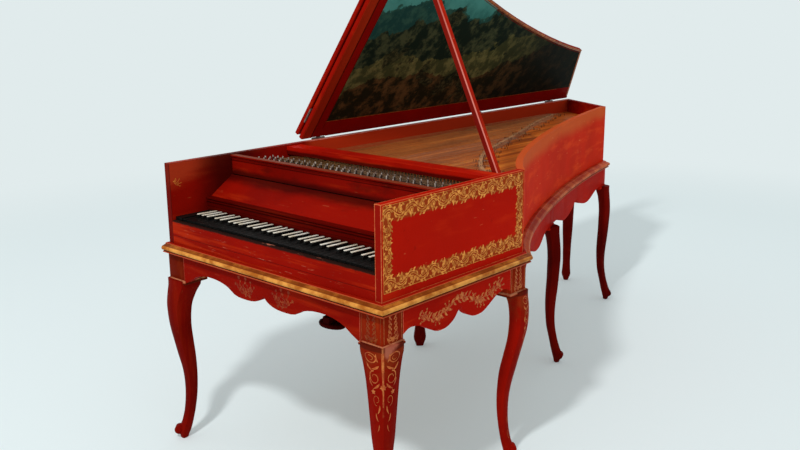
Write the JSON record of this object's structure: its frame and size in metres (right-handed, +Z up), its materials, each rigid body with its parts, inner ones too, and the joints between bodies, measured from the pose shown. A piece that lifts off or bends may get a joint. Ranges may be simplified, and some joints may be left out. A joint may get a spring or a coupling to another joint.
{
  "type": "fortepiano",
  "caption": "Early grand piano on curved legs, with a propped lid, a folding front flap, keys that move their hammers, and dampers lifted by a knee lever.",
  "frame": {"origin": "on the floor, under the middle of the bounding box with the lid open", "axes": "+Z up; +Y from the keyboard to the tail; +X from the bass side (spine) to the treble side (cheek)"},
  "size_m": [0.995, 2.4354, 1.7139],
  "materials": {
    "lacquer": "vermilion lacquer on wood, with gilded ornament",
    "gilding": "gilded wood",
    "bare_wood": "oiled wood",
    "soundboard_wood": "varnished spruce",
    "ebony": "polished black wood",
    "iron": "dark patinated iron"
  },
  "bodies": {
    "case": {"stand_moulding": "gilding", "front_apron": "lacquer", "cheek_apron": "lacquer", "bentside_apron_front": "lacquer", "bentside_apron_rear": "lacquer", "tail_apron": "lacquer", "spine_apron": "lacquer", "leg_front_left": "lacquer", "leg_front_right": "lacquer", "leg_cheek": "lacquer", "leg_bentside": "lacquer", "leg_tail_right": "lacquer", "leg_tail_left": "lacquer", "leg_spine": "lacquer", "spine": "lacquer", "cheek": "lacquer", "bentside": "lacquer", "tail": "lacquer", "bottom_board": "bare_wood", "keyslip": "lacquer", "key_block_bass": "ebony", "key_block_treble": "ebony", "lower_nameboard": "lacquer", "sloping_board": "lacquer", "upper_nameboard": "lacquer", "wrest_plank": "bare_wood", "nut": "bare_wood", "belly_rail": "bare_wood", "soundboard": "soundboard_wood", "bridge": "bare_wood", "jack_rail": "lacquer", "prop_bracket": "iron", "spine_hinge_leaf_1": "iron", "spine_hinge_leaf_2": "iron", "spine_hinge_leaf_3": "iron", "key_frame": "bare_wood", "knee_lever_bracket": "iron"},
    "lid": {"lid": "lacquer", "prop_peg": "iron", "lid_hinge_leaf_1": "iron", "lid_hinge_leaf_2": "iron", "lid_hinge_leaf_3": "iron", "lid_back_leaf_1": "iron", "lid_back_leaf_2": "iron"},
    "flap": {"lid_flap": "lacquer", "flap_hinge_leaf_1": "iron", "flap_hinge_leaf_2": "iron"},
    "prop": {"prop": "lacquer"},
    "knee_lever": {"knee_lever": "lacquer"},
    "dampers": {"damper_rail": "bare_wood"},
    "keys_bass": {"keys_bass": "ebony"},
    "keys_treble": {"keys_treble": "ebony"},
    "key_c1": {"key_c1": "ebony"},
    "key_c_sharp_1": {"key_c_sharp_1": "ebony"},
    "key_d1": {"key_d1": "ebony"},
    "hammers_bass": {"hammers_bass": "bare_wood"},
    "hammers_treble": {"hammers_treble": "bare_wood"},
    "hammer_c1": {"hammer_c1": "bare_wood"},
    "hammer_c_sharp_1": {"hammer_c_sharp_1": "bare_wood"},
    "hammer_d1": {"hammer_d1": "bare_wood"}
  },
  "joints": [
    {"name": "lid_hinge", "type": "hinge", "parent": "case", "child": "lid", "pos_m": [-0.46826, 0.00466, 0.941], "axis": [0, 1, 0], "range_deg": [0, 54]},
    {"name": "flap_hinge", "type": "hinge", "parent": "lid", "child": "flap", "pos_m": [-0.21177, -0.60926, 1.32942], "axis": [0.5878, 0, 0.809], "range_deg": [0, 180]},
    {"name": "prop_pivot", "type": "hinge", "parent": "case", "child": "prop", "pos_m": [0.41574, -0.62266, 0.918], "axis": [0, 1, 0], "range_deg": [-65.3, 0]},
    {"name": "knee_lever_pivot", "type": "hinge", "parent": "case", "child": "knee_lever", "pos_m": [0.21874, -0.54696, 0.662], "axis": [-1, 0, 0], "range_deg": [0, 2.6], "stiffness_Nm_per_rad": 6, "springref_deg": -5.73},
    {"name": "damper_lift", "type": "slide", "parent": "case", "child": "dampers", "axis": [0, 0, 1], "range_m": [0, 0.005]},
    {"name": "keys_bass_balance", "type": "hinge", "parent": "case", "child": "keys_bass", "pos_m": [-0.20306, -0.93696, 0.745], "axis": [1, 0, 0], "range_deg": [0, 1.72], "stiffness_Nm_per_rad": 18, "springref_deg": -6.88},
    {"name": "keys_treble_balance", "type": "hinge", "parent": "case", "child": "keys_treble", "pos_m": [0.22744, -0.93696, 0.745], "axis": [1, 0, 0], "range_deg": [0, 1.72], "stiffness_Nm_per_rad": 18, "springref_deg": -6.88},
    {"name": "key_c1_balance", "type": "hinge", "parent": "case", "child": "key_c1", "pos_m": [0.00904, -0.93696, 0.745], "axis": [1, 0, 0], "range_deg": [0, 1.72], "stiffness_Nm_per_rad": 0.6, "springref_deg": -6.88},
    {"name": "key_c_sharp_1_balance", "type": "hinge", "parent": "case", "child": "key_c_sharp_1", "pos_m": [0.02224, -0.93696, 0.745], "axis": [1, 0, 0], "range_deg": [0, 1.72], "stiffness_Nm_per_rad": 0.6, "springref_deg": -6.88},
    {"name": "key_d1_balance", "type": "hinge", "parent": "case", "child": "key_d1", "pos_m": [0.03584, -0.93696, 0.745], "axis": [1, 0, 0], "range_deg": [0, 1.72], "stiffness_Nm_per_rad": 0.6, "springref_deg": -6.88},
    {"name": "hammers_bass_axle", "type": "hinge", "parent": "case", "child": "hammers_bass", "pos_m": [-0.20306, -0.75696, 0.8], "axis": [1, 0, 0], "range_deg": [0, 21.6]},
    {"name": "hammers_treble_axle", "type": "hinge", "parent": "case", "child": "hammers_treble", "pos_m": [0.22464, -0.75696, 0.8], "axis": [1, 0, 0], "range_deg": [0, 21.6]},
    {"name": "hammer_c1_axle", "type": "hinge", "parent": "case", "child": "hammer_c1", "pos_m": [0.00904, -0.75696, 0.8], "axis": [1, 0, 0], "range_deg": [0, 21.6]},
    {"name": "hammer_c_sharp_1_axle", "type": "hinge", "parent": "case", "child": "hammer_c_sharp_1", "pos_m": [0.02224, -0.75696, 0.8], "axis": [1, 0, 0], "range_deg": [0, 21.6]},
    {"name": "hammer_d1_axle", "type": "hinge", "parent": "case", "child": "hammer_d1", "pos_m": [0.03584, -0.75696, 0.8], "axis": [1, 0, 0], "range_deg": [0, 21.6]}
  ],
  "couplings": [
    {"joint": "prop_pivot", "follows": "lid_hinge", "ratio": -1.2088},
    {"joint": "damper_lift", "follows": "knee_lever_pivot", "m_per_rad": 0.11},
    {"joint": "hammers_bass_axle", "follows": "keys_bass_balance", "ratio": 12.5},
    {"joint": "hammers_treble_axle", "follows": "keys_treble_balance", "ratio": 12.5},
    {"joint": "hammer_c1_axle", "follows": "key_c1_balance", "ratio": 12.5},
    {"joint": "hammer_c_sharp_1_axle", "follows": "key_c_sharp_1_balance", "ratio": 12.5},
    {"joint": "hammer_d1_axle", "follows": "key_d1_balance", "ratio": 12.5}
  ]
}
